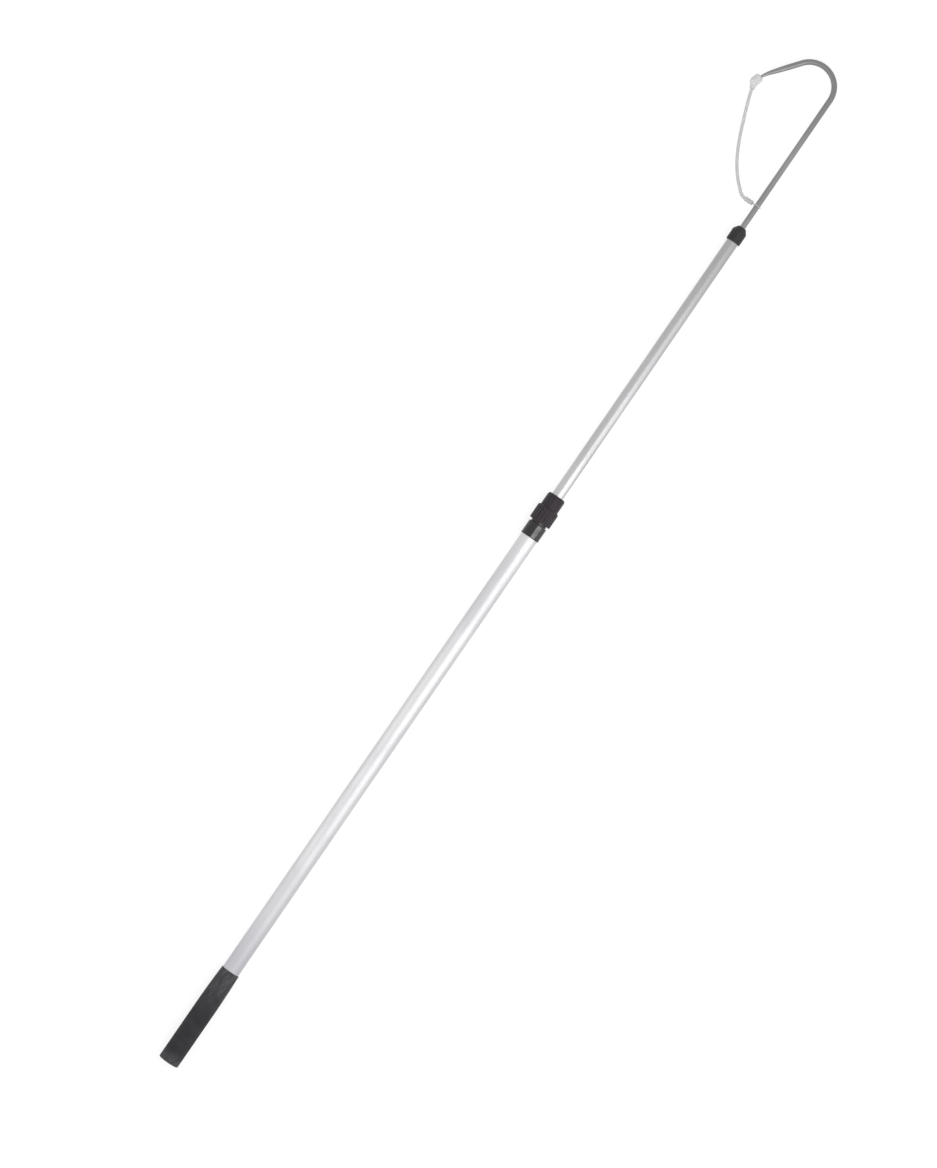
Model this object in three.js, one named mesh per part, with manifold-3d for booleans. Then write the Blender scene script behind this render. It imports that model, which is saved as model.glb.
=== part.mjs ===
// Telescoping fishing gaff: a two-piece aluminium pole with a twist lock, and a stainless
// hook whose point is kept in a soft cap on a clear plastic lead. Millimetres.
// +X runs along the pole from the butt to the hook, the hook opens towards +Y, +Z is up.
// The origin is the middle of the butt face. The gaff lies on a flat surface: the lock nut
// is its widest piece, and the hook has rolled over until the cap on its point touches too.

import * as THREE from 'three';
import { mergeVertices } from 'three/addons/utils/BufferGeometryUtils.js';
import Module from 'manifold-3d';

// Fits
const seatGap = 0.1; // between pieces that are pressed or glued together
const runningGap = 0.3; // between pieces that move on each other
const cutGap = 0.3; // round a pin or wire in the hole cut for it
const cutOverrun = 1; // how far a cutting tool passes the face that it cuts
const weldTolerance = 0.0001;

// Grip, a moulded sleeve closed at the butt
const gripLength = 132;
const gripDiameter = 26;
const gripMouthDiameter = 23.4;
const gripTaperLength = 55;
const gripEndWall = 3;
const gripCornerRadius = 1.2;

// Butt plug, a cup pressed into the outer tube under the grip
const buttFlangeThickness = 2;
const buttPlugLength = 18;
const buttPlugWall = 1.6;

// Outer tube
const outerTubeDiameter = 22;
const outerTubeWall = 1.2;
const outerTubeLength = 776;

// Lock body: a collar over the tube's end, a sleeve inside it and a neck that the nut screws on
const collarDiameter = 24.2;
const collarOverlap = 17;
const collarWeb = 1;
const collarEdge = 0.8;
const lockSleeveLength = 24;
const lockNeckDiameter = 21.3;
const lockNeckLength = 17;

// Clamp ring, split, with a cone at each end
const ringDiameter = 18.8;
const ringEndDiameter = 16.8;
const ringConeLength = 5.5;
const ringLandLength = 2.5;
const ringSlotWidth = 1.6;

// Lock nut
const nutSetback = 3.2; // length of neck that shows between collar and nut
const nutLength = 38;
const nutGripDiameter = 28;
const nutGripLength = 19;
const nutShoulderLength = 1.6;
const nutFrontDiameter = 23.4;
const nutFrontChamfer = 2.4;
const nutFrontChamferDepth = 1.4;
const nutEdge = 0.8;
const fluteCount = 20;
const fluteRadius = 2.2;
const fluteDepth = 0.7;

// Inner tube, with a rolled groove near its lower end that the guide bush snaps into
const innerTubeDiameter = 15;
const innerTubeWall = 1.2;
const innerTubeLength = 720;
const shownExtension = 370.7; // from the nut's front to the nose, as it lies
const grooveSetback = 16;
const grooveWidth = 4.2;
const grooveDepth = 0.9;
const grooveSlope = 0.8;

// Guide bush, split, and the plug that closes the inner tube behind it
const bushLength = 30;
const bushChamfer = 0.8;
const bushSlotWidth = 2;
const bushRibWidth = 1.6;
const endPlugFlangeThickness = 2.5;
const endPlugLength = 12;
const endPlugWall = 1.5;

// Nose ferrule
const noseDiameter = 18.5;
const noseOverlap = 10.5;
const noseSkirtLength = 15;
const noseConeLength = 6;
const noseTipDiameter = 10;
const noseEdge = 0.7;

// Bushes that hold the rod in the inner tube, and the pin through the front one
const frontBushLength = 42;
const frontBushFlangeThickness = 2;
const rearBushLength = 18;
const rearBushEndWall = 4;
const rodTailLength = 75; // from the inner tube's end back to the rod's tail
const pinDiameter = 3;
const pinSetback = 6;
const pinShortfall = 0.3; // how far each end of the pin stops inside the tube's surface

// Hook rod
const rodDiameter = 7;
const shankLength = 185; // from the nose's tip to the start of the bend
const bendRadius = 30;
const bendDegrees = 141;
const pointStraightLength = 38;
const pointCurveLength = 24;
const pointCurveRadius = 60;
const pointTaperLength = 47;
const pointTaperPower = 0.9; // below 1 the ground point is a little fuller
const pointTipDiameter = 0.8;

// Wire loop round the shank and the sleeve crimped on its tails
const loopSetback = 31.3; // from the nose's tip
const loopWireDiameter = 1.4;
const loopClearance = 0.2;
const loopTailSpacing = 1.9;
const loopOpeningDegrees = 42; // from the tails' direction to where the wire leaves its round
const loopDropDegrees = 17; // how far the loop hangs below the hook's plane
const crimpDiameter = 5.8;
const crimpLength = 11;
const crimpReach = 7.5; // from the shank's axis to the sleeve's inner end
const crimpTailDepth = 4.5;
const crimpSocketDepth = 4;
const crimpEdge = 0.5;
const crimpBandShares = [0.27, 0.7]; // middles of the two pressed bands along the sleeve
const crimpBandWidth = 2.2;
const crimpBandSlope = 0.5;
const crimpBandDepth = 0.25;

// Cap on the point, with a spout that holds the lead
const capDiameter = 11.6;
const capMouthDiameter = 8.8;
const capLength = 15;
const capEngagement = 10;
const capMouthTaper = 3.5;
const capBoreClearance = 0.5;
const capBoreRelief = 0.8;
const spoutDiameter = 6.8;
const spoutRootDiameter = 8.4;
const spoutReach = 9.6;
const spoutDegrees = 31;
const spoutSocketDepth = 3.6;
const spoutEdge = 0.4;

// Lead: its route is chosen by hand, from inside the crimp sleeve to inside the spout
const leadDiameter = 4;
const leadRoute = [
  [1246.5, 14.2, -5.82],
  [1246.5, 17.4, -7.13],
  [1247.1, 20.8, -8.4],
  [1249.2, 24.7, -9.6],
  [1252.9, 28.9, -10.5],
  [1257.5, 33.8, -11.2],
  [1263.3, 39.3, -11.7],
  [1270.8, 45.4, -11.9],
  [1279.8, 51.6, -11.95],
  [1289.8, 57.3, -11.95],
  [1300.8, 62.7, -11.95],
  [1312.3, 67.7, -11.9],
  [1323.8, 72.3, -11.5],
  [1335.3, 76.8, -10.5],
  [1346.0, 80.9, -9.1],
  [1355.4, 84.0, -8.0],
  [1362.8, 85.96, -7.95],
];

// Facets round each kind of piece
const poleFacets = 40;
const innerFacets = 32;
const rodFacets = 20;
const smallFacets = 20;
const wireFacets = 8;
const leadFacets = 10;
const bendSteps = 20;
const pointSteps = 16;
const cornerSteps = 3;
const domeSteps = 6;
const loopRoundSteps = 12;
const loopSweepSteps = 44;
const leadSweepSteps = 26;

// Radii and stations that follow from the sizes above
const outerTubeRadius = outerTubeDiameter / 2;
const outerTubeBore = outerTubeRadius - outerTubeWall;
const innerTubeRadius = innerTubeDiameter / 2;
const innerTubeBore = innerTubeRadius - innerTubeWall;
const rodRadius = rodDiameter / 2;
const guideBore = innerTubeRadius + runningGap; // bore of each piece that the inner tube runs through

const buttPlugStation = gripEndWall + seatGap;
const outerTubeStation = buttPlugStation + buttFlangeThickness + seatGap;
const outerTubeEnd = outerTubeStation + outerTubeLength;
const collarStation = outerTubeEnd - collarOverlap;
const collarFront = outerTubeEnd + seatGap + collarWeb;
const lockNeckEnd = collarFront + lockNeckLength;
const ringStation = lockNeckEnd - ringConeLength;
const ringLength = 2 * ringConeLength + ringLandLength;
const nutStation = collarFront + nutSetback;
const noseStation = nutStation + nutLength + shownExtension;
const noseTip = noseStation + noseSkirtLength + noseConeLength;
const innerTubeEnd = noseStation + noseOverlap;
const innerTubeStation = innerTubeEnd - innerTubeLength;
const rodTail = innerTubeEnd - rodTailLength;

const wasm = await Module();
wasm.setup();

const radians = THREE.MathUtils.degToRad;

// A closed mesh with its shared corners merged and nothing but positions on it.
function weld(geometry) {
  const bare = geometry.clone();
  bare.deleteAttribute('normal');
  bare.deleteAttribute('uv');
  const merged = mergeVertices(bare, weldTolerance);
  const kept = [];
  for (let i = 0; i < merged.index.count; i += 3) {
    const [a, b, c] = [0, 1, 2].map((corner) => merged.index.getX(i + corner));
    if (a !== b && b !== c && c !== a) kept.push(a, b, c);
  }
  merged.setIndex(kept);
  return merged;
}

function toSolid(geometry) {
  const welded = weld(geometry);
  return new wasm.Manifold(new wasm.Mesh({
    numProp: 3,
    vertProperties: new Float32Array(welded.attributes.position.array),
    triVerts: new Uint32Array(welded.index.array),
  }));
}

function toGeometry(solid) {
  const mesh = solid.getMesh();
  const geometry = new THREE.BufferGeometry();
  geometry.setAttribute('position', new THREE.BufferAttribute(mesh.vertProperties, 3));
  geometry.setIndex(new THREE.BufferAttribute(mesh.triVerts, 1));
  return geometry;
}

function cut(geometry, tools) {
  const remaining = tools.reduce((solid, tool) => solid.subtract(toSolid(tool)), toSolid(geometry));
  return toGeometry(remaining);
}

function join(geometry, added) {
  return toGeometry(toSolid(geometry).add(toSolid(added)));
}

// Revolves an outline of [station, radius] pairs about the X axis.
function revolve(outline, facets) {
  const points = outline.map(([station, radius]) => new THREE.Vector2(radius, station));
  if (THREE.ShapeUtils.area(points) < 0) points.reverse();
  points.push(points[0].clone());
  return new THREE.LatheGeometry(points, facets).rotateZ(-Math.PI / 2);
}

// Points of an outline's round corner or dome, as [station, radius] pairs.
function arc(centreStation, centreRadius, arcRadius, fromDegrees, toDegrees, steps) {
  return Array.from({ length: steps + 1 }, (_, i) => {
    const angle = radians(fromDegrees + ((toDegrees - fromDegrees) * i) / steps);
    return [centreStation + arcRadius * Math.cos(angle), centreRadius + arcRadius * Math.sin(angle)];
  });
}

// Cylinder along X from one station to another.
function bar(radius, from, to, facets) {
  return new THREE.CylinderGeometry(radius, radius, to - from, facets)
    .rotateZ(-Math.PI / 2)
    .translate((from + to) / 2, 0, 0);
}

// Cylinder across the pole, along Z, that the cross pin and its holes share.
function crossBar(radius, halfLength, station) {
  return new THREE.CylinderGeometry(radius, radius, 2 * halfLength, smallFacets)
    .rotateX(Math.PI / 2)
    .translate(station, 0, 0);
}

// Block that slits one side of a ring along its whole length, on its upper side.
function slit(width, length, outerRadius) {
  return new THREE.BoxGeometry(length + 2 * cutOverrun, width, outerRadius + cutOverrun)
    .translate(length / 2, 0, (outerRadius + cutOverrun) / 2);
}

// Round section carried along flat stations { x, y, angle, radius } in the XY plane, closed at both ends.
function sweepFlat(stations, facets) {
  const positions = [];
  for (const { x, y, angle, radius } of stations) {
    for (let i = 0; i < facets; i += 1) {
      const turn = (2 * Math.PI * i) / facets;
      const side = radius * Math.cos(turn);
      positions.push(x - side * Math.sin(angle), y + side * Math.cos(angle), radius * Math.sin(turn));
    }
  }
  const first = stations[0];
  const last = stations[stations.length - 1];
  positions.push(first.x, first.y, 0, last.x, last.y, 0);
  const firstCentre = stations.length * facets;
  const lastCentre = firstCentre + 1;
  const index = [];
  for (let i = 0; i < facets; i += 1) {
    const next = (i + 1) % facets;
    index.push(firstCentre, next, i);
    index.push(lastCentre, (stations.length - 1) * facets + i, (stations.length - 1) * facets + next);
    for (let ring = 0; ring < stations.length - 1; ring += 1) {
      const [a, b] = [ring * facets + i, ring * facets + next];
      index.push(a, b, b + facets, a, b + facets, a + facets);
    }
  }
  const geometry = new THREE.BufferGeometry();
  geometry.setAttribute('position', new THREE.Float32BufferAttribute(positions, 3));
  geometry.setIndex(index);
  return geometry;
}

// Round section carried along a curve.
function sweepCurve(curve, diameter, facets, steps) {
  const section = new THREE.Shape(
    Array.from({ length: facets }, (_, i) => {
      const turn = (2 * Math.PI * i) / facets;
      return new THREE.Vector2((diameter / 2) * Math.cos(turn), (diameter / 2) * Math.sin(turn));
    }),
  );
  return new THREE.ExtrudeGeometry(section, { steps, extrudePath: curve });
}

function piece(name, geometry, finish) {
  const mesh = new THREE.Mesh(weld(geometry), new THREE.MeshStandardMaterial(finish));
  mesh.name = name;
  return mesh;
}

const finishes = {
  grip: { color: 0x3a3a3c, roughness: 0.85, metalness: 0 },
  aluminium: { color: 0xc6c7ca, roughness: 0.32, metalness: 1 },
  lockBody: { color: 0x17171a, roughness: 0.25, metalness: 0 },
  lockNut: { color: 0x2b2a2c, roughness: 0.6, metalness: 0 },
  nose: { color: 0x303030, roughness: 0.65, metalness: 0 },
  stainless: { color: 0x9c9c9e, roughness: 0.35, metalness: 1 },
  wire: { color: 0xb4b4b6, roughness: 0.3, metalness: 1 },
  crimp: { color: 0xa9a9ab, roughness: 0.4, metalness: 1 },
  clearPlastic: { color: 0xdedfe0, roughness: 0.35, metalness: 0, transparent: true, opacity: 0.7 },
  milkyPlastic: { color: 0xececea, roughness: 0.4, metalness: 0, transparent: true, opacity: 0.85 },
  acetal: { color: 0xd9d6cc, roughness: 0.5, metalness: 0 },
  darkPlastic: { color: 0x3c3d40, roughness: 0.6, metalness: 0 },
};

function grip() {
  const radius = gripDiameter / 2;
  const mouthRadius = gripMouthDiameter / 2;
  const bore = outerTubeRadius + seatGap;
  const taperShares = [0.25, 0.5, 0.75, 1];
  const taper = taperShares.map((share) => [
    gripLength - gripTaperLength * (1 - share),
    radius - (radius - mouthRadius) * share * share,
  ]);
  return revolve([
    [0, 0],
    ...arc(gripCornerRadius, radius - gripCornerRadius, gripCornerRadius, 180, 90, cornerSteps),
    [gripLength - gripTaperLength, radius],
    ...taper,
    [gripLength, bore],
    [gripEndWall, bore],
    [gripEndWall, 0],
  ], poleFacets);
}

function buttPlug() {
  const radius = outerTubeBore - seatGap;
  const bore = radius - buttPlugWall;
  const end = buttFlangeThickness + buttPlugLength;
  return revolve([
    [0, 0],
    [0, outerTubeRadius],
    [buttFlangeThickness, outerTubeRadius],
    [buttFlangeThickness, radius],
    [end, radius],
    [end, bore],
    [buttFlangeThickness + buttPlugWall, bore],
    [buttFlangeThickness + buttPlugWall, 0],
  ], innerFacets);
}

function outerTube() {
  return revolve([
    [0, outerTubeBore],
    [0, outerTubeRadius],
    [outerTubeLength, outerTubeRadius],
    [outerTubeLength, outerTubeBore],
  ], poleFacets);
}

function lockBody() {
  const collarRadius = collarDiameter / 2;
  const collarBore = outerTubeRadius + seatGap;
  const sleeveRadius = outerTubeBore - seatGap;
  const neckRadius = lockNeckDiameter / 2;
  const socketEnd = collarOverlap + seatGap;
  const front = collarFront - collarStation;
  const neckEnd = lockNeckEnd - collarStation;
  const coneStart = neckEnd - ringConeLength - runningGap;
  const sleeveStart = collarOverlap - lockSleeveLength;
  return revolve([
    [0, collarBore],
    [0, collarRadius - collarEdge],
    [collarEdge, collarRadius],
    [front - collarEdge, collarRadius],
    [front, collarRadius - collarEdge],
    [front, neckRadius],
    [neckEnd, neckRadius],
    [neckEnd, ringDiameter / 2 + runningGap],
    [coneStart, ringEndDiameter / 2 + runningGap],
    [coneStart, guideBore],
    [sleeveStart, guideBore],
    [sleeveStart, sleeveRadius],
    [socketEnd, sleeveRadius],
    [socketEnd, collarBore],
  ], poleFacets);
}

function clampRing() {
  const whole = revolve([
    [0, guideBore],
    [0, ringEndDiameter / 2],
    [ringConeLength, ringDiameter / 2],
    [ringConeLength + ringLandLength, ringDiameter / 2],
    [ringLength, ringEndDiameter / 2],
    [ringLength, guideBore],
  ], poleFacets);
  return cut(whole, [slit(ringSlotWidth, ringLength, ringDiameter / 2)]);
}

function lockNut() {
  const gripRadius = nutGripDiameter / 2;
  const frontRadius = nutFrontDiameter / 2;
  const neckBore = lockNeckDiameter / 2 + runningGap;
  const coneRadius = ringDiameter / 2 + runningGap;
  const shoulderEnd = nutGripLength + nutShoulderLength;
  const neckBoreEnd = lockNeckEnd - nutStation + runningGap;
  const coneEnd = ringStation + ringLength - nutStation + runningGap;
  const blank = revolve([
    [0, neckBore],
    [0, gripRadius - nutEdge],
    [nutEdge, gripRadius],
    [nutGripLength, gripRadius],
    [shoulderEnd, frontRadius],
    [nutLength - nutFrontChamfer, frontRadius],
    [nutLength, frontRadius - nutFrontChamferDepth],
    [nutLength, guideBore],
    [coneEnd, guideBore],
    [coneEnd, ringEndDiameter / 2 + runningGap],
    [coneEnd - ringConeLength, coneRadius],
    [neckBoreEnd, coneRadius],
    [neckBoreEnd, neckBore],
  ], poleFacets);
  const fluteAxis = gripRadius - fluteDepth + fluteRadius;
  const flutes = Array.from({ length: fluteCount }, (_, i) =>
    bar(fluteRadius, -cutOverrun, shoulderEnd + cutOverrun, smallFacets)
      .translate(0, 0, fluteAxis)
      .rotateX((2 * Math.PI * (i + 0.5)) / fluteCount));
  return cut(blank, flutes);
}

function innerTube() {
  const grooveEnd = grooveSetback + grooveWidth;
  const groove = [
    [grooveSetback, 0],
    [grooveSetback + grooveSlope, grooveDepth],
    [grooveEnd - grooveSlope, grooveDepth],
    [grooveEnd, 0],
  ];
  const outside = groove.map(([station, depth]) => [station, innerTubeRadius - depth]);
  const inside = groove.map(([station, depth]) => [station, innerTubeBore - depth]).reverse();
  const whole = revolve([
    [0, innerTubeBore],
    [0, innerTubeRadius],
    ...outside,
    [innerTubeLength, innerTubeRadius],
    [innerTubeLength, innerTubeBore],
    ...inside,
  ], poleFacets);
  return cut(whole, [pinHole(innerTubeStation)]);
}

// The cross pin's hole, seen from a piece that starts at the given station.
function pinHole(pieceStation) {
  const station = innerTubeEnd - pinSetback - pieceStation;
  return crossBar(pinDiameter / 2 + cutGap, innerTubeRadius + cutOverrun, station);
}

function guideBush() {
  const radius = outerTubeBore - runningGap;
  const ribMiddle = grooveSetback + grooveWidth / 2;
  const ribTop = innerTubeRadius - grooveDepth + runningGap;
  const ribHalf = bushRibWidth / 2;
  const whole = revolve([
    [0, guideBore],
    [0, radius - bushChamfer],
    [bushChamfer, radius],
    [bushLength - bushChamfer, radius],
    [bushLength, radius - bushChamfer],
    [bushLength, guideBore],
    [ribMiddle + ribHalf, guideBore],
    [ribMiddle + ribHalf, ribTop],
    [ribMiddle - ribHalf, ribTop],
    [ribMiddle - ribHalf, guideBore],
  ], poleFacets);
  return cut(whole, [slit(bushSlotWidth, bushLength, radius)]);
}

function innerEndPlug() {
  const radius = innerTubeBore - seatGap;
  const bore = radius - endPlugWall;
  const end = endPlugFlangeThickness + endPlugLength;
  return revolve([
    [0, 0],
    [0, innerTubeRadius],
    [endPlugFlangeThickness, innerTubeRadius],
    [endPlugFlangeThickness, radius],
    [end, radius],
    [end, bore],
    [endPlugFlangeThickness + endPlugWall, bore],
    [endPlugFlangeThickness + endPlugWall, 0],
  ], innerFacets);
}

function noseFerrule() {
  const radius = noseDiameter / 2;
  const skirtBore = innerTubeRadius + seatGap;
  const rodBore = rodRadius + seatGap;
  const skirtEnd = noseOverlap + seatGap + frontBushFlangeThickness + seatGap;
  const tip = noseSkirtLength + noseConeLength;
  return revolve([
    [0, skirtBore],
    [0, radius - noseEdge],
    [noseEdge, radius],
    [noseSkirtLength - noseEdge, radius],
    [noseSkirtLength, radius - noseEdge / 2],
    [tip - noseEdge, noseTipDiameter / 2],
    [tip, noseTipDiameter / 2 - noseEdge / 2],
    [tip, rodBore],
    [skirtEnd, rodBore],
    [skirtEnd, skirtBore],
  ], poleFacets);
}

function frontBush() {
  const radius = innerTubeBore - seatGap;
  const bore = rodRadius + seatGap;
  const end = frontBushLength + seatGap + frontBushFlangeThickness;
  const whole = revolve([
    [0, bore],
    [0, radius],
    [frontBushLength + seatGap, radius],
    [frontBushLength + seatGap, innerTubeRadius],
    [end, innerTubeRadius],
    [end, bore],
  ], innerFacets);
  return cut(whole, [pinHole(innerTubeEnd - frontBushLength)]);
}

function rearBush() {
  const radius = innerTubeBore - seatGap;
  const bore = rodRadius + seatGap;
  return revolve([
    [0, 0],
    [0, radius],
    [rearBushLength, radius],
    [rearBushLength, bore],
    [rearBushEndWall, bore],
    [rearBushEndWall, 0],
  ], innerFacets);
}

// Centreline of the hook from the rod's tail to its point, as flat stations.
function hookStations() {
  const bendStart = noseTip + shankLength;
  const bendAngle = radians(bendDegrees);
  const curveAngle = pointCurveLength / pointCurveRadius;
  const stations = [{ x: rodTail, y: 0, angle: 0, fromTip: Infinity }];
  for (let i = 0; i <= bendSteps; i += 1) {
    const angle = (bendAngle * i) / bendSteps;
    stations.push({
      x: bendStart + bendRadius * Math.sin(angle),
      y: bendRadius - bendRadius * Math.cos(angle),
      angle,
      fromTip: Infinity,
    });
  }
  const bendEnd = stations[stations.length - 1];
  const pointLength = pointStraightLength + pointCurveLength;
  for (let i = 1; i <= pointSteps; i += 1) {
    const along = (pointLength * i) / pointSteps;
    const straight = Math.min(along, pointStraightLength);
    const turned = (curveAngle * Math.max(along - pointStraightLength, 0)) / pointCurveLength;
    const angle = bendAngle + turned;
    stations.push({
      x: bendEnd.x + straight * Math.cos(bendAngle)
        + pointCurveRadius * (Math.sin(angle) - Math.sin(bendAngle)),
      y: bendEnd.y + straight * Math.sin(bendAngle)
        - pointCurveRadius * (Math.cos(angle) - Math.cos(bendAngle)),
      angle,
      fromTip: pointLength - along,
    });
  }
  return stations.map((station) => ({ ...station, radius: rodRadiusAt(station.fromTip) }));
}

// The rod's radius at a distance back from the tip of its ground point.
function rodRadiusAt(fromTip) {
  const share = Math.min(fromTip / pointTaperLength, 1);
  const tipRadius = pointTipDiameter / 2;
  return tipRadius + (rodRadius - tipRadius) * Math.sin((share * Math.PI) / 2) ** pointTaperPower;
}

function hookRod(stations) {
  return cut(sweepFlat(stations, rodFacets), [pinHole(0)]);
}

function crossPin() {
  return crossBar(pinDiameter / 2, innerTubeRadius - pinShortfall, 0);
}

// Wire loop in its own frame: the shank runs along X through the origin, the tails leave along Y.
function guardLoop() {
  const turnRadius = rodRadius + loopClearance + loopWireDiameter / 2;
  const tail = crimpReach + crimpTailDepth;
  const spread = loopTailSpacing / 2;
  const wound = 360 - 2 * loopOpeningDegrees;
  const round = Array.from({ length: loopRoundSteps + 1 }, (_, i) => {
    const angle = radians(loopOpeningDegrees + (wound * i) / loopRoundSteps);
    return new THREE.Vector3(0, turnRadius * Math.cos(angle), turnRadius * Math.sin(angle));
  });
  const curve = new THREE.CatmullRomCurve3([
    new THREE.Vector3(0, tail, spread),
    new THREE.Vector3(0, crimpReach, spread),
    ...round,
    new THREE.Vector3(0, crimpReach, -spread),
    new THREE.Vector3(0, tail, -spread),
  ]);
  return sweepCurve(curve, loopWireDiameter, wireFacets, loopSweepSteps);
}

// Sleeve in its own frame, along X from the end that takes the wire tails, a hole for each tail.
function crimpSleeve() {
  const radius = crimpDiameter / 2;
  const leadBore = leadDiameter / 2 + cutGap;
  const socket = crimpLength - crimpSocketDepth;
  const halfBand = crimpBandWidth / 2;
  const bands = crimpBandShares.flatMap((share) => [
    [crimpLength * share - halfBand, radius],
    [crimpLength * share - halfBand + crimpBandSlope, radius - crimpBandDepth],
    [crimpLength * share + halfBand - crimpBandSlope, radius - crimpBandDepth],
    [crimpLength * share + halfBand, radius],
  ]);
  const blank = revolve([
    [0, 0],
    [0, radius - crimpEdge],
    [crimpEdge, radius],
    ...bands,
    [crimpLength - crimpEdge, radius],
    [crimpLength, radius - crimpEdge],
    [crimpLength, leadBore],
    [socket, leadBore],
    [socket, 0],
  ], smallFacets);
  const tailHoles = [-1, 1].map((side) =>
    bar(loopWireDiameter / 2 + cutGap, -cutOverrun, crimpTailDepth + cutGap, smallFacets)
      .translate(0, 0, (side * loopTailSpacing) / 2));
  return cut(blank, tailHoles);
}

// Cap in its own frame: its axis is X, and the tip of the point is at the origin.
function tipCap() {
  const radius = capDiameter / 2;
  const mouth = -capEngagement;
  const domeCentre = capLength - capEngagement - radius;
  const body = revolve([
    [mouth, 0],
    [mouth, capMouthDiameter / 2],
    [mouth + capMouthTaper, radius],
    ...arc(domeCentre, 0, radius, 90, 0, domeSteps),
  ], smallFacets);
  const spout = revolve([
    [0, 0],
    [0, spoutRootDiameter / 2],
    [spoutReach - spoutEdge, spoutDiameter / 2],
    [spoutReach, spoutDiameter / 2 - spoutEdge],
    [spoutReach, 0],
  ], smallFacets);
  const turned = (geometry) => geometry.rotateZ(radians(spoutDegrees)).translate(domeCentre, 0, 0);
  const socket = bar(leadDiameter / 2 + cutGap, spoutReach - spoutSocketDepth, spoutReach + cutOverrun, smallFacets);
  const boreEnd = capBoreRelief;
  const bore = revolve([
    [mouth - cutOverrun, 0],
    [mouth - cutOverrun, rodRadiusAt(capEngagement + cutOverrun) + capBoreClearance],
    [0, rodRadiusAt(0) + capBoreClearance],
    [boreEnd, 0],
  ], smallFacets);
  const chordAngle = capEngagement / (2 * pointCurveRadius);
  return cut(join(body, turned(spout)), [turned(socket), bore.rotateZ(-chordAngle)]);
}

function guardLead() {
  const curve = new THREE.CatmullRomCurve3(leadRoute.map((point) => new THREE.Vector3(...point)));
  return sweepCurve(curve, leadDiameter, leadFacets, leadSweepSteps);
}

// The handle: everything that stays with the outer tube
const handle = new THREE.Group();
function addToHandle(mesh, station) {
  mesh.position.x = station;
  handle.add(mesh);
}
addToHandle(piece('grip', grip(), finishes.grip), 0);
addToHandle(piece('butt_plug', buttPlug(), finishes.darkPlastic), buttPlugStation);
addToHandle(piece('outer_tube', outerTube(), finishes.aluminium), outerTubeStation);
addToHandle(piece('lock_body', lockBody(), finishes.lockBody), collarStation);
addToHandle(piece('clamp_ring', clampRing(), finishes.acetal), ringStation);
addToHandle(piece('lock_nut', lockNut(), finishes.lockNut), nutStation);

// The sliding section, rolled about the pole until the cap meets the surface
const stations = hookStations();
const tip = stations[stations.length - 1];
const capAxisReach = tip.y + (capLength - capEngagement) * Math.sin(tip.angle) / 2;
const rollAngle = Math.asin((nutGripDiameter - capDiameter) / 2 / capAxisReach);
const slidingSection = new THREE.Group();
slidingSection.rotation.x = -rollAngle;
function addToSection(mesh, station) {
  mesh.position.x = station;
  slidingSection.add(mesh);
}
addToSection(piece('guide_bush', guideBush(), finishes.acetal), innerTubeStation);
addToSection(
  piece('inner_end_plug', innerEndPlug(), finishes.darkPlastic),
  innerTubeStation - seatGap - endPlugFlangeThickness,
);
addToSection(piece('inner_tube', innerTube(), finishes.aluminium), innerTubeStation);
addToSection(piece('nose_ferrule', noseFerrule(), finishes.nose), noseStation);
addToSection(piece('front_bush', frontBush(), finishes.darkPlastic), innerTubeEnd - frontBushLength);
addToSection(
  piece('rear_bush', rearBush(), finishes.darkPlastic),
  rodTail - seatGap - rearBushEndWall,
);
addToSection(piece('cross_pin', crossPin(), finishes.stainless), innerTubeEnd - pinSetback);
addToSection(piece('hook_rod', hookRod(stations), finishes.stainless), 0);

// The wire loop and its sleeve hang a little below the hook's plane
const loopHanger = new THREE.Group();
loopHanger.position.x = noseTip + loopSetback;
loopHanger.rotation.x = -radians(loopDropDegrees);
loopHanger.add(piece('guard_loop', guardLoop(), finishes.wire));
const crimp = piece('crimp_sleeve', crimpSleeve(), finishes.crimp);
crimp.position.y = crimpReach;
crimp.rotation.z = Math.PI / 2;
loopHanger.add(crimp);
slidingSection.add(loopHanger);

// The cap sits on the point, along the direction that the point ends in
const cap = piece('tip_cap', tipCap(), finishes.milkyPlastic);
cap.position.set(tip.x, tip.y, 0);
cap.rotation.z = tip.angle;
slidingSection.add(cap);

const gaff = new THREE.Group();
gaff.add(handle, slidingSection, piece('guard_lead', guardLead(), finishes.clearPlastic));

export default gaff;
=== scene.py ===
"""Dresses a telescoping fishing gaff: pole, grip, twist lock, bent hook and the cap on its point.

+X runs along the pole from the butt to the hook, the hook opens towards +Y and +Z is up.
Sizes are millimetres while a piece is on the bench, and metres once it is set down.
"""

from __future__ import annotations

import logging
import math
from collections.abc import Callable
from dataclasses import dataclass, field
from enum import Enum
from functools import partial

import bmesh
import bpy
from mathutils import Matrix, Vector

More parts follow.
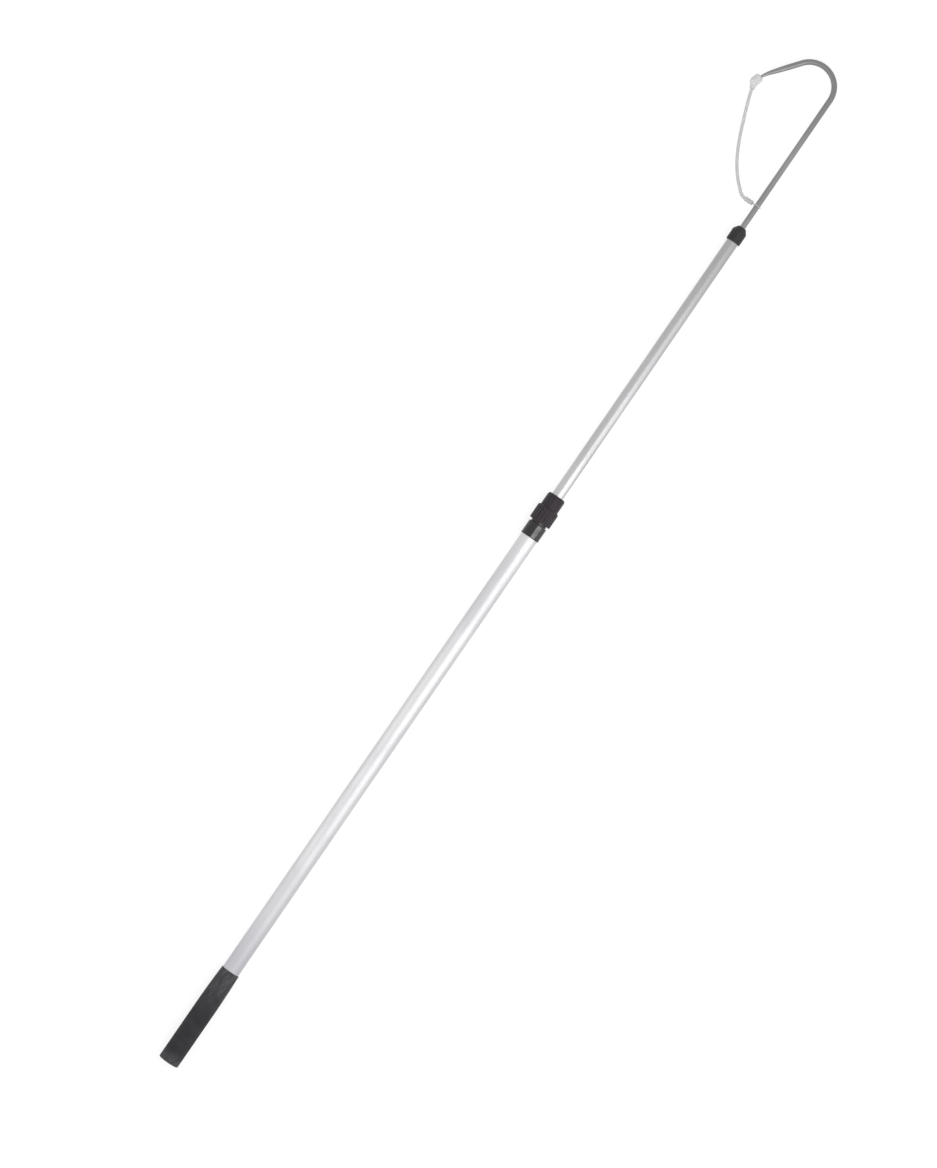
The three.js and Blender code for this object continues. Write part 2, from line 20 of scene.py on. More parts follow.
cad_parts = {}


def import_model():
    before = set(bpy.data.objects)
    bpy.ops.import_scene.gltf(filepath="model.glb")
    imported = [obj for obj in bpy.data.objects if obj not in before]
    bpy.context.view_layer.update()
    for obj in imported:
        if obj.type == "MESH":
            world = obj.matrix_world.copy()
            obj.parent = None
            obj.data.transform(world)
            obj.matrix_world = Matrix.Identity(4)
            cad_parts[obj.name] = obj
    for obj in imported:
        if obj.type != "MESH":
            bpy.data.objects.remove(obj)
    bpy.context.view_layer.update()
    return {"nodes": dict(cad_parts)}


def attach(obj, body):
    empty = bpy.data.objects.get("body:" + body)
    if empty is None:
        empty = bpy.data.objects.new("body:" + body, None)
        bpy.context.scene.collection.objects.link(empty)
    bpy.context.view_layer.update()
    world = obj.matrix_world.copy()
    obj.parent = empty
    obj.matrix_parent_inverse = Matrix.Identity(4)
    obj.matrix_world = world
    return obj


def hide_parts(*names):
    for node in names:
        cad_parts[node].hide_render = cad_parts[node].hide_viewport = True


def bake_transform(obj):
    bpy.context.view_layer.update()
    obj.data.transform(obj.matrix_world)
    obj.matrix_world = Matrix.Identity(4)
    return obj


MM = 0.001  # metres in a millimetre
MERGE_REACH = 0.001  # corners that lie closer than this become one
SEAM_REACH = 0.05  # half the width of a moulding's part line
LONG_RUN = 3  # a run of more than this many reaches is held at both ends
SHARPEST = 24  # degrees from which an edge is fully rubbed
UNRUBBED = 0.2  # share of SHARPEST up to which an edge isn't rubbed at all
NOISE = (0.3, 0.7)  # what the noise of a pattern runs over
WORN = (0.34, 0.64, 0.35)  # where in the noise an edge keeps its wear, and the least that it keeps
LAMP_WATTS = 4.0  # for a square metre of lamp that a mirror shows as white

Pair = tuple[float, float]
Triple = tuple[float, float, float]
Colour = Triple
Outline = list[Pair]
Wanted = Callable[[bmesh.types.BMVert], bool]
Socket = bpy.types.NodeSocket

log = logging.getLogger("gaff")


class Body(Enum):
    """The moving bodies that new pieces ride on."""

    HANDLE = "handle"
    LOCK_NUT = "lock_nut"
    HOOK_SECTION = "hook_section"
    TIP_CAP = "tip_cap"


class Slot(Enum):
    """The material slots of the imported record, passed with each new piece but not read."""

    GRIP = "grip"
    TUBE = "tube"
    LOCK_BODY = "lock_body"
    LOCK_NUT = "lock_nut"
    NOSE = "nose"
    ROD = "rod"
    WIRE = "wire"
    LEAD = "lead"
    CAP = "cap"


class Follows(Enum):
    """What a finish's pattern follows: the piece's place, or its length before it was bent."""

    PLACE = "place"
    LENGTH = "unbent"


# The bench


def clear_bench() -> None:
    """Leaves edit mode and deselects everything."""
    if bpy.context.object and bpy.context.object.mode != "OBJECT":
        bpy.ops.object.mode_set(mode="OBJECT")
    bpy.ops.object.select_all(action="DESELECT")


def stand(name: str, data: bpy.types.ID) -> bpy.types.Object:
    """Puts a camera, a lamp or a curve in the scene.

    Args:
        name: its name.
        data: the camera, lamp or curve itself.

    Returns:
        The object that holds it.
    """
    holder = bpy.data.objects.new(name, data)
    bpy.context.scene.collection.objects.link(holder)
    return holder


def new_curve(kind: str) -> tuple[bpy.types.Object, bpy.types.Spline]:
    """Puts a curve in the scene.

    Args:
        kind: what its one spline is, POLY or BEZIER.

    Returns:
        The curve's object, and its spline with one point so far.
    """
    curve = bpy.data.curves.new("former", "CURVE")
    curve.dimensions = "3D"
    return stand("former", curve), curve.splines.new(kind)


def spread(start: float, end: float, steps: int) -> list[float]:
    """Numbers in even steps from start to end, with both among them."""
    return [start + (end - start) * i / steps for i in range(steps + 1)]


def length_of(line: list[Vector]) -> float:
    """The length of a line through all its points."""
    return sum((b - a).length for a, b in zip(line, line[1:]))


def stepped(*steps: tuple[float, ...]) -> Outline:
    """An outline from steps, each a station and then the radii that follow one another there."""
    return [(station, radius) for station, *radii in steps for radius in radii]


def held(rings: Outline, reach: float) -> Outline:
    """Adds a ring close to both ends of each long run, so that wear and shading stay at its edges.

    Args:
        rings: (station, radius) pairs.
        reach: how far from an end the added rings lie.

    Returns:
        The pairs with those rings among them.
    """
    kept = [rings[0]]
    for start, end in zip(rings, rings[1:]):
        run = math.dist(start, end)
        if run > LONG_RUN * reach:
            for share in (reach / run, 1 - reach / run):
                kept.append(tuple(a + (b - a) * share for a, b in zip(start, end)))
        kept.append(end)
    return kept


def arc(centre: Pair, radius: float, start: float, end: float, steps: int) -> Outline:
    """Points of a round corner, from one angle in degrees to another.

    Args:
        centre: the corner's centre.
        radius: the corner's own radius.
        start: the first angle.
        end: the last angle.
        steps: runs between the points.

    Returns:
        Pairs like the centre.
    """
    angles = map(math.radians, spread(start, end, steps))
    return [(centre[0] + radius * math.cos(a), centre[1] + radius * math.sin(a)) for a in angles]


class Workpiece:
    """A mesh on the bench, worked in millimetres with Blender's editing operators."""

    def __init__(self, shape: bpy.types.Object, name: str) -> None:
        """Takes the shape as it is and names it."""
        self.shape = shape
        shape.name = shape.data.name = name

    @classmethod
    def turned(
        cls, name: str, outline: Outline, facets: int, hold: float = 0.6, solid: bool = False
    ) -> Workpiece:
        """Turns an outline about the X axis, ring by ring.

        Args:
            name: the piece's name.
            outline: (station, radius) pairs.
            facets: sides of each ring.
            hold: how far from its corners a long run is held.
            solid: whether a face closes each end. Otherwise the outline runs back to its first
                ring, as a tube's does.

        Returns:
            The closed piece.
        """
        clear_bench()
        rings = held(outline if solid else [*outline, outline[0]], hold)
        station, radius = rings[0]
        bpy.ops.mesh.primitive_circle_add(
            vertices=facets, radius=radius, location=(station, 0, 0), rotation=(0, math.pi / 2, 0)
        )
        piece = cls(bpy.context.object, name)
        bpy.ops.object.transform_apply()
        piece.edit()
        for next_station, next_radius in rings[1:]:
            move = {"value": (next_station - station, 0, 0)}
            bpy.ops.mesh.extrude_region_move(TRANSFORM_OT_translate=move)
            share = next_radius / radius
            bpy.ops.transform.resize(value=(1, share, share), center_override=(next_station, 0, 0))
            station, radius = next_station, next_radius
        if solid:
            bpy.ops.mesh.edge_face_add()
            piece.select(lambda v: v.index < facets)
            bpy.ops.mesh.edge_face_add()
        piece.close()
        return piece

    def select(self, wanted: Wanted) -> None:
        """Selects corners in edit mode, and the edges and faces among them.

        Args:
            wanted: says whether a corner is selected.
        """
        mesh = bmesh.from_edit_mesh(self.shape.data)
        mesh.select_mode = {"VERT"}
        for vertex in mesh.verts:
            vertex.select = wanted(vertex)
        mesh.select_flush_mode()
        bmesh.update_edit_mesh(self.shape.data)

    def take_up(self) -> None:
        """Makes this piece the active one and the only one selected."""
        clear_bench()
        bpy.context.view_layer.objects.active = self.shape
        self.shape.select_set(True)

    def edit(self) -> None:
        """Takes this piece into edit mode, all of it selected."""
        self.take_up()
        bpy.ops.object.mode_set(mode="EDIT")
        bpy.ops.mesh.select_all(action="SELECT")

    def close(self) -> None:
        """Merges doubles, turns all faces outwards and leaves edit mode."""
        bpy.ops.mesh.select_all(action="SELECT")
        bpy.ops.mesh.remove_doubles(threshold=MERGE_REACH)
        bpy.ops.mesh.normals_make_consistent(inside=False)
        bpy.ops.object.mode_set(mode="OBJECT")

    def stretch(self, wanted: Wanted, shares: Triple) -> None:
        """Scales corners about the origin.

        Args:
            wanted: says which corners.
            shares: the scale along each axis.
        """
        self.edit()
        self.select(wanted)
        bpy.ops.transform.resize(value=shares, center_override=(0, 0, 0))
        bpy.ops.object.mode_set(mode="OBJECT")

    def modify(self, kind: str, **settings: object) -> None:
        """Adds a modifier and applies it.

        Args:
            kind: its type.
            settings: its own settings.
        """
        self.take_up()
        modifier = self.shape.modifiers.new(kind.title(), kind)
        for key, value in settings.items():
            setattr(modifier, key, value)
        bpy.ops.object.modifier_apply(modifier=modifier.name)

    def round_edges(self, width: float, segments: int = 3, sharper_than: float = 28) -> None:
        """Rounds each edge that is sharper than an angle in degrees."""
        limit = math.radians(sharper_than)
        self.modify("BEVEL", width=width, segments=segments, limit_method="ANGLE", angle_limit=limit)

    def take(self, other: Workpiece, how: str) -> None:
        """Joins the other piece to this one (UNION) or cuts it away (DIFFERENCE), and removes it."""
        self.modify("BOOLEAN", object=other.shape, operation=how, solver="EXACT")
        bpy.data.objects.remove(other.shape)

    def part_lines(self, height: float, outside: float) -> None:
        """Raises by a height the two side lines of a mould, where they lie outside a radius."""
        raised = (1, 1 + height / outside, 1)
        self.stretch(lambda v: abs(v.co.z) < SEAM_REACH and abs(v.co.y) > outside, raised)

    def keep_length(self) -> None:
        """Writes each corner's place in metres, before the piece is bent, for a pattern to follow."""
        places = self.shape.data.attributes.new(Follows.LENGTH.value, "FLOAT_VECTOR", "POINT")
        for vertex, place in zip(self.shape.data.vertices, places.data):
            place.vector = vertex.co * MM

    def bend_along(self, line: list[Vector], twist: str = "MINIMUM") -> None:
        """Bends a straight piece, which starts at station 0, along a line.

        Args:
            line: the points of the line, close together.
            twist: how the section turns along the line, MINIMUM or Z_UP.
        """
        self.keep_length()
        guide, spline = new_curve("POLY")
        guide.data.twist_mode = twist
        spline.points.add(len(line) - 1)
        for point, place in zip(spline.points, line):
            point.co = (*place, 1)
        self.modify("CURVE", object=guide, deform_axis="POS_X")
        bpy.data.curves.remove(guide.data)

    def mark_rubbed_edges(self) -> None:
        """Writes how sharply each corner stands out, 0 to 1, which the finishes read as wear."""
        mesh = bmesh.new()
        mesh.from_mesh(self.shape.data)
        rubbed = []
        for vertex in mesh.verts:
            bends = [e.calc_face_angle_signed(0) for e in vertex.link_edges if e.is_manifold]
            share = math.degrees(max(bends, default=0)) / SHARPEST
            rubbed.append(min(1.0, max(0.0, (share - UNRUBBED) / (1 - UNRUBBED))))
        mesh.free()
        values = self.shape.data.attributes.new("rub", "FLOAT", "POINT")
        values.data.foreach_set("value", rubbed)

    def place(self, where: Matrix) -> None:
        """Moves the piece on the bench and applies the move.

        Args:
            where: the move.
        """
        self.take_up()
        self.shape.matrix_world = where
        bpy.ops.object.transform_apply()

    def set_down(
        self, finish: Finish, slot: Slot, body: Body | None, *nodes: str, smooth: float = 35
    ) -> bpy.types.Object:
        """Brings the finished piece to metres, dresses it and puts it on its body.

        Args:
            finish: its finish.
            slot: not used.
            body: the body that it rides on, or None where it blends between two.
            nodes: the nodes that it stands for, if it does.
            smooth: the angle in degrees up to which its faces are shaded as one surface.

        Returns:
            The piece.
        """
        self.mark_rubbed_edges()
        self.place(Matrix.Scale(MM, 4))
        bpy.ops.object.shade_smooth_by_angle(angle=math.radians(smooth))
        self.shape.data.materials.clear()
        self.shape.data.materials.append(finish.material())
        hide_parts(*nodes)
        if body:
            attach(self.shape, body.value)
        log.info("%s: %d faces", self.shape.name, len(self.shape.data.polygons))
        return self.shape


# The finishes


def add_node(
    tree: bpy.types.NodeTree, kind: str, inputs: dict | None = None, **settings: object
) -> bpy.types.Node:
    """Adds a shader node.

    Args:
        tree: the tree that it goes into.
        kind: its type.
        inputs: a value or another node's socket for each named or numbered input.
        settings: its own settings.

    Returns:
        The node.
    """
    node = tree.nodes.new(f"ShaderNode{kind}")
    for key, value in settings.items():
        setattr(node, key, value)
    for key, value in (inputs or {}).items():
        if isinstance(value, Socket):
            tree.links.new(value, node.inputs[key])
        else:
            node.inputs[key].default_value = value
    return node


def shown(tree: bpy.types.NodeTree) -> Socket:
    """Tells what is looked at from what only gives light.

    Args:
        tree: the node tree to tell it in.

    Returns:
        1 for what the camera sees straight, in a reflection or through a clear piece.
    """
    path = add_node(tree, "LightPath").outputs
    total = path["Is Camera Ray"]
    for ray in ("Is Glossy Ray", "Is Transmission Ray"):
        total = add_node(tree, "Math", {0: total, 1: path[ray]}, operation="MAXIMUM").outputs[0]
    return total


class Sheet:
    """The node tree of one finish, with short ways to read the surface and to add patterns."""

    def __init__(self, name: str, follows: Follows = Follows.PLACE) -> None:
        """Starts a material.

        Args:
            name: its name.
            follows: what its patterns follow.
        """
        self.material = bpy.data.materials.new(name)
        self.material.use_nodes = True
        self.tree = self.material.node_tree
        self.add = partial(add_node, self.tree)
        self.surface = self.tree.nodes["Principled BSDF"]
        if follows is Follows.PLACE:
            self.where = self.add("TexCoord").outputs["Object"]
        else:
            self.where = self.add("Attribute", attribute_name=follows.value).outputs["Vector"]

    def speckle(
        self, size: float, stretch: Triple = (1, 1, 1), turn: Triple = (0, 0, 0), detail: float = 2
    ) -> Socket:
        """Adds noise whose grains are of a size in millimetres.

        Args:
            size: the size of a grain.
            stretch: how many times longer a grain is along each axis.
            turn: how far in degrees the grains are turned about each axis.
            detail: how many finer layers lie on the first.

        Returns:
            The noise, which mostly keeps within NOISE.
        """
        scale = tuple(1 / (size * MM * share) for share in stretch)
        turned = tuple(map(math.radians, turn))
        mapped = self.add("Mapping", {"Vector": self.where, "Rotation": turned, "Scale": scale})
        noise = self.add("TexNoise", {"Vector": mapped.outputs[0], "Scale": 1.0, "Detail": detail})
        return noise.outputs["Fac"]

    def ramp(self, value: Socket, low: float, high: float, start: float = 0, end: float = 1) -> Socket:
        """Turns a value from low to high smoothly into one from start to end, and holds it there."""
        inputs = {0: value, 1: low, 2: high, 3: start, 4: end}
        return self.add("MapRange", inputs, interpolation_type="SMOOTHSTEP").outputs[0]

    def rise(self, start: float, end: float) -> Socket:
        """Rises smoothly from 0 to 1 between two stations along X, in millimetres."""
        station = self.add("SeparateXYZ", {0: self.where}).outputs[0]
        return self.ramp(station, start * MM, end * MM)

    def combine(self, how: str, first: Socket | float, second: Socket | float) -> Socket:
        """Adds, multiplies or otherwise joins two values, and holds the result from 0 to 1."""
        return self.add("Math", {0: first, 1: second}, operation=how, use_clamp=True).outputs[0]

    def blend(self, share: Socket, first: Socket | Colour, second: Socket | Colour) -> Socket:
        """Mixes two colours."""
        pair = [c if isinstance(c, Socket) else (*c, 1) for c in (first, second)]
        return self.add("Mix", {0: share, 6: pair[0], 7: pair[1]}, data_type="RGBA").outputs[2]

    def rubbed(self, patch: float = 2.6) -> Socket:
        """How rubbed the surface is at its edges, broken up in patches so that wear is uneven."""
        edge = self.add("Attribute", attribute_name="rub").outputs["Fac"]
        return self.combine("MULTIPLY", edge, self.ramp(self.speckle(patch), *WORN))

    def raise_by(self, height: Socket, depth: float) -> None:
        """Adds relief on top of the relief that is already there.

        Args:
            height: the relief, 0 to 1.
            depth: how deep it is in millimetres.
        """
        inputs = {"Height": height, "Distance": depth * MM, "Strength": 1.0}
        below = self.surface.inputs["Normal"].links
        if below:
            inputs["Normal"] = below[0].from_socket
        self.paint("Normal", self.add("Bump", inputs).outputs[0])

    def paint(self, socket: str, value: Socket) -> None:
        """Joins a value to one of the surface's sockets."""
        self.tree.links.new(value, self.surface.inputs[socket])

    def set(self, **constants: object) -> None:
        """Sets constants on the surface's own sockets, each named with _ for a space."""
        for key, value in constants.items():
            self.surface.inputs[key.replace("_", " ")].default_value = value


@dataclass(frozen=True)
class MouldedFinish:
    """Moulded rubber or plastic: grain from the mould, clouding and pale rubbed edges."""

    name: str
    colour: Colour
    clouded: Colour
    rubbed: Colour
    roughness: float
    gloss: float = 0.5
    grain_size: float = 0.3
    grain_depth: float = 0.02
    cloud_size: float = 9.0
    clouding: Pair = (0.36, 0.64)  # where in the noise a cloud begins and is full
    uneven_gloss: float = 0.07
    gloss_patch: float = 0.6  # clouds across
    dimple_size: float = 9.0  # grains across
    dimple_depth: float = 0.8  # grains deep
    paler_from: float = 0.0
    paler_to: float = 0.0
    paler_butt: float = 0.0
    pale_streak: float = 5.0
    pale_streaks: Triple = (0.35, 0.6, 0.4)  # where they begin and are full, and the least of them
    pale: Colour = (0.1, 0.1, 0.1)

    def material(self) -> bpy.types.Material:
        """The finish as a Blender material."""
        sheet = Sheet(self.name)
        cloud = sheet.ramp(sheet.speckle(self.cloud_size, detail=3), *self.clouding)
        colour = sheet.blend(cloud, self.colour, self.clouded)
        if self.paler_to:
            mouth, butt = sheet.rise(self.paler_from, self.paler_to), sheet.rise(self.paler_butt, 0)
            reach = sheet.combine("MAXIMUM", mouth, butt)
            uneven = sheet.ramp(sheet.speckle(self.pale_streak, (2.5, 1, 1)), *self.pale_streaks)
            colour = sheet.blend(sheet.combine("MULTIPLY", reach, uneven), colour, self.pale)
        sheet.paint("Base Color", sheet.blend(sheet.rubbed(), colour, self.rubbed))
        patches = sheet.speckle(self.cloud_size * self.gloss_patch)
        low, high = self.roughness - self.uneven_gloss, self.roughness + self.uneven_gloss
        sheet.paint("Roughness", sheet.ramp(patches, *NOISE, low, high))
        sheet.raise_by(sheet.speckle(self.grain_size, detail=3), self.grain_depth)
        dimples = sheet.speckle(self.grain_size * self.dimple_size)
        sheet.raise_by(dimples, self.grain_depth * self.dimple_depth)
        sheet.set(Specular_IOR_Level=self.gloss)
        return sheet.material


@dataclass(frozen=True)
class DrawnMetalFinish:
    """Drawn tube, rod or wire: fine die lines along it, dull patches, handling scratches and a stretch
    darkened by painted shade.
    """

    name: str
    colour: Colour
    dull: Colour
    roughness: float
    line_size: float = 0.3
    line_stretch: float = 900.0
    line_depth: float = 0.0035
    line_shade: Pair = (0.55, 0.75)  # where in the noise a line begins to dull the metal
    line_dulling: float = 0.35
    line_roughness: float = 0.05
    scratch_size: float = 0.5
    scratch_depth: float = 0.012
    scratches: tuple[tuple[Triple, float], ...] = (((0, 0, 14), 70), ((0, 9, -21), 45))
    scratched: Pair = (0.74, 0.8)  # where in the noise a scratch begins and is deepest
    patch_size: float = 26.0
    patching: Pair = (0.38, 0.62)
    patch_roughness: float = 0.06
    follows: Follows = Follows.PLACE
    painted_shade_from: float = 0.0  # the station from which painted shade darkens the metal, standing for lamplight that falls off there
    painted_shade_to: float = 0.0
    painted_shade: Colour = (0.5, 0.5, 0.5)
    ground_from: float = 0.0
    ground_to: float = 0.0
    ground: Colour = (0.5, 0.5, 0.5)  # also where edges are rubbed
    ring_size: float = 0.16
    ring_depth: float = 0.012

    def material(self) -> bpy.types.Material:
        """The finish as a Blender material."""
        sheet = Sheet(self.name, self.follows)
        patches = sheet.ramp(sheet.speckle(self.patch_size, (3, 1, 1), detail=4), *self.patching)
        lines = sheet.speckle(self.line_size, (self.line_stretch, 1, 1))
        colour = sheet.blend(patches, self.colour, self.dull)
        colour = sheet.blend(sheet.ramp(lines, *self.line_shade, 0, self.line_dulling), colour, self.dull)
        if self.painted_shade_to:
            # painted shade: a stretch of the metal is darkened where less lamplight reaches it
            colour = sheet.blend(sheet.rise(self.painted_shade_from, self.painted_shade_to), colour, self.painted_shade)
        uneven = sheet.ramp(lines, *NOISE, -self.line_roughness, self.line_roughness)
        rough = sheet.combine("ADD", uneven, self.roughness)
        rough = sheet.combine("ADD", rough, sheet.ramp(patches, 0, 1, 0, self.patch_roughness))
        sheet.raise_by(lines, self.line_depth)
        for turn, stretch in self.scratches:
            marks = sheet.speckle(self.scratch_size, (stretch, 1, 1), turn, detail=1)
            sheet.raise_by(sheet.ramp(marks, *self.scratched, 1, 0), self.scratch_depth)
        if self.ground_to:
            reach = sheet.rise(self.ground_from, self.ground_to)
            rings = sheet.speckle(self.ring_size, (1, 40, 40))
            colour = sheet.blend(reach, colour, self.ground)
            sheet.raise_by(sheet.combine("MULTIPLY", reach, rings), self.ring_depth)
        sheet.paint("Base Color", sheet.blend(sheet.rubbed(), colour, self.ground))
        sheet.paint("Roughness", rough)
        sheet.set(Metallic=1.0)
        return sheet.material


@dataclass(frozen=True)
class ClearPlasticFinish:
    """Soft plastic that light passes into: clear for the lead, milky for the cap."""

    name: str
    colour: Colour
    hazy: Colour
    roughness: float
    clearness: float
    milkiness: float
    follows: Follows = Follows.PLACE
    haze_size: float = 4.0
    hazing: Pair = (0.35, 0.65)
    smoother: float = 0.05
    rougher: float = 0.08
    ripple_size: float = 1.2
    ripple: float = 0.006
    skin_size: float = 0.25
    skin: float = 0.001
    refraction: float = 1.46
    light_depth: float = 0.002  # metres that light goes into it

    def material(self) -> bpy.types.Material:
        """The finish as a Blender material."""
        sheet = Sheet(self.name, self.follows)
        haze = sheet.ramp(sheet.speckle(self.haze_size, (2, 1, 1), detail=3), *self.hazing)
        colour = sheet.blend(haze, self.colour, self.hazy)
        sheet.paint("Base Color", sheet.blend(sheet.rubbed(), colour, self.hazy))
        low, high = self.roughness - self.smoother, self.roughness + self.rougher
        sheet.paint("Roughness", sheet.ramp(haze, 0, 1, low, high))
        sheet.raise_by(sheet.speckle(self.ripple_size, (3, 1, 1)), self.ripple)
        sheet.raise_by(sheet.speckle(self.skin_size), self.skin)
        sheet.set(Transmission_Weight=self.clearness, Subsurface_Weight=self.milkiness)
        sheet.set(Subsurface_Scale=self.light_depth, Subsurface_Radius=(1.0, 1.0, 1.0))
        sheet.set(IOR=self.refraction)
        return sheet.material


Finish = MouldedFinish | DrawnMetalFinish | ClearPlasticFinish


# The studio


@dataclass
class SoftBox:
    """A soft lamp that hangs over the pole and points at it, in metres."""

    name: str
    station: float
    width: float
    depth: float
    distance: float
    lean: float  # degrees from straight up, positive towards -Y
    brightness: float  # what a mirror would show of it, where 1 is white


@dataclass
class Studio:
    """Camera, lamps, surrounding light and floor, in metres."""

    aim: Pair = (0.6766, 0.0283)
    camera_height: float = 6.0
    frame_height: float = 1.4016
    sensor: float = 36.0
    sight: float = 100.0
    turned: float = -55.455  # degrees
    floor_height: float = -0.01405
    floor_size: float = 60.0
    floor_glow: float = 0.78
    floor_seen: float = 0.36
    floor_plain: float = 0.8
    room_light: float = 0.6
    boxes: tuple[SoftBox, ...] = (
        SoftBox("wide_box", 0.44, 0.42, 2.8, 1.5, 27, 0.74),
        SoftBox("narrow_box", 0.93, 0.28, 3.2, 1.5, 50, 1.1),
        SoftBox("bright_strip", 0.645, 0.77, 0.2, 1.3, 23, 0.75),
        SoftBox("left_fill", 0.37, 0.26, 1.6, 1.4, -55, 0.85),
        SoftBox("lock_box", 0.79, 0.05, 1.3, 1.35, 34, 4.2),
    )

    def set_camera(self) -> None:
        """Hangs the camera straight above, turned as the photograph is."""
        data = bpy.data.cameras.new("camera")
        data.sensor_width = self.sensor
        data.lens = self.sensor * self.camera_height / self.frame_height
        data.clip_end = self.sight
        camera = stand("camera", data)
        camera.location = (*self.aim, self.camera_height)
        camera.rotation_euler = (0, 0, math.radians(self.turned))
        bpy.context.scene.camera = camera

    def hang_lamps(self) -> None:
        """Hangs the soft boxes beside and above the pole, each leaning towards it."""
        for box in self.boxes:
            lamp = bpy.data.lights.new(box.name, "AREA")
            lamp.shape = "RECTANGLE"
            lamp.size, lamp.size_y = box.width, box.depth
            lamp.energy = box.brightness * LAMP_WATTS * box.width * box.depth
            lean = math.radians(box.lean)
            aside, above = -box.distance * math.sin(lean), box.distance * math.cos(lean)
            holder = stand(box.name, lamp)
            holder.location = (box.station, aside, above)
            holder.rotation_euler = (lean, 0, 0)
            holder.visible_camera = False

    def light_room(self) -> None:
        """Makes the room white to look at, and plain grey-white as a light."""
        world = bpy.data.worlds.new("room")
        world.use_nodes = True
        tree = world.node_tree
        level = add_node(tree, "MapRange", {0: shown(tree), "To Min": self.room_light})
        back = tree.nodes["Background"]
        back.inputs["Color"].default_value = (1, 1, 1, 1)
        tree.links.new(level.outputs[0], back.inputs["Strength"])
        bpy.context.scene.world = world

    def lay_floor(self) -> None:
        """Lays a pale floor that keeps the gaff's soft shadow."""
        clear_bench()
        place = (*self.aim, self.floor_height)
        bpy.ops.mesh.primitive_plane_add(size=self.floor_size, location=place)
        floor = bpy.context.object
        floor.name = "floor"
        material = bpy.data.materials.new("pale_floor")
        material.use_nodes = True
        tree = material.node_tree
        tree.nodes.clear()
        plain, seen = (
            add_node(tree, "BsdfDiffuse", {0: (grey, grey, grey, 1)}).outputs[0]
            for grey in (self.floor_plain, self.floor_seen)
        )
        glow = add_node(tree, "Emission", {"Strength": self.floor_glow}).outputs[0]
        lit = add_node(tree, "AddShader", {0: seen, 1: glow}).outputs[0]
        choice = add_node(tree, "MixShader", {0: shown(tree), 1: plain, 2: lit}).outputs[0]
        add_node(tree, "OutputMaterial", {0: choice})
        floor.data.materials.append(material)

    def build(self) -> None:
        """Sets up everything that isn't part of the gaff."""
        bpy.context.scene.view_settings.view_transform = "Standard"
        self.set_camera()
        self.hang_lamps()
        self.light_room()
        self.lay_floor()


# The handle


@dataclass
class Handle:
    """The moulded grip and the wide tube that it is drawn over."""

    grip_length: float = 132.0
    grip_radius: float = 13.0
    mouth_radius: float = 11.7
    mouth_edge: float = 0.22
    taper_length: float = 55.0
    taper_steps: int = 14
    corner: float = 1.2
    corner_steps: int = 6
    end_wall: float = 3.0
    tube_radius: float = 11.0
    tube_wall: float = 1.2
    tube_start: float = 5.2
    tube_length: float = 776.0
    tube_edge: float = 0.2
    fit: float = 0.1
    part_line: float = 0.12
    facets: int = 144

    def grip(self) -> None:
        """Moulds the grip: a sleeve with a flat closed butt, drawn in towards its mouth."""
        bore = self.tube_radius + self.fit
        middle = (self.corner, self.grip_radius - self.corner)
        drawn_in = self.grip_radius - self.mouth_radius
        outline = arc(middle, self.corner, 180, 90, self.corner_steps)
        for share in spread(0, 1, self.taper_steps):
            station = self.grip_length - self.taper_length * (1 - share)
            outline.append((station, self.grip_radius - drawn_in * share**2))
        outline += [(self.grip_length, bore), (self.end_wall, bore)]
        piece = Workpiece.turned("rubber_grip", outline, self.facets, solid=True)
        piece.round_edges(self.mouth_edge, sharper_than=50)
        piece.part_lines(self.part_line, bore + self.fit)
        finish = MouldedFinish(
            "matt_grip_rubber", colour=(0.029, 0.028, 0.031), clouded=(0.037, 0.0355, 0.039),
            rubbed=(0.075, 0.073, 0.077), pale=(0.095, 0.0925, 0.102), paler_from=60, paler_to=128,
            paler_butt=18, roughness=0.8, gloss=0.28, grain_size=0.42, grain_depth=0.045, cloud_size=16
        )
        piece.set_down(finish, Slot.GRIP, Body.HANDLE, "grip")

    def tube(self) -> None:
        """Draws the wide tube."""
        bore = self.tube_radius - self.tube_wall
        end = self.tube_start + self.tube_length
        outline = stepped((self.tube_start, bore, self.tube_radius), (end, self.tube_radius, bore))
        piece = Workpiece.turned("wide_tube", outline, self.facets)
        piece.round_edges(self.tube_edge)
        # painted shade: the tube is darker towards the grip, where it reflects less light
        finish = DrawnMetalFinish(
            "anodised_wide_tube", colour=(0.61, 0.61, 0.618), dull=(0.57, 0.57, 0.583), roughness=0.4,
            painted_shade_from=255, painted_shade_to=125, painted_shade=(0.485, 0.478, 0.51)
        )
        piece.set_down(finish, Slot.TUBE, Body.HANDLE, "outer_tube")

    def build(self) -> None:
        """Makes the grip and the tube."""
        self.grip()
        self.tube()


# The twist lock


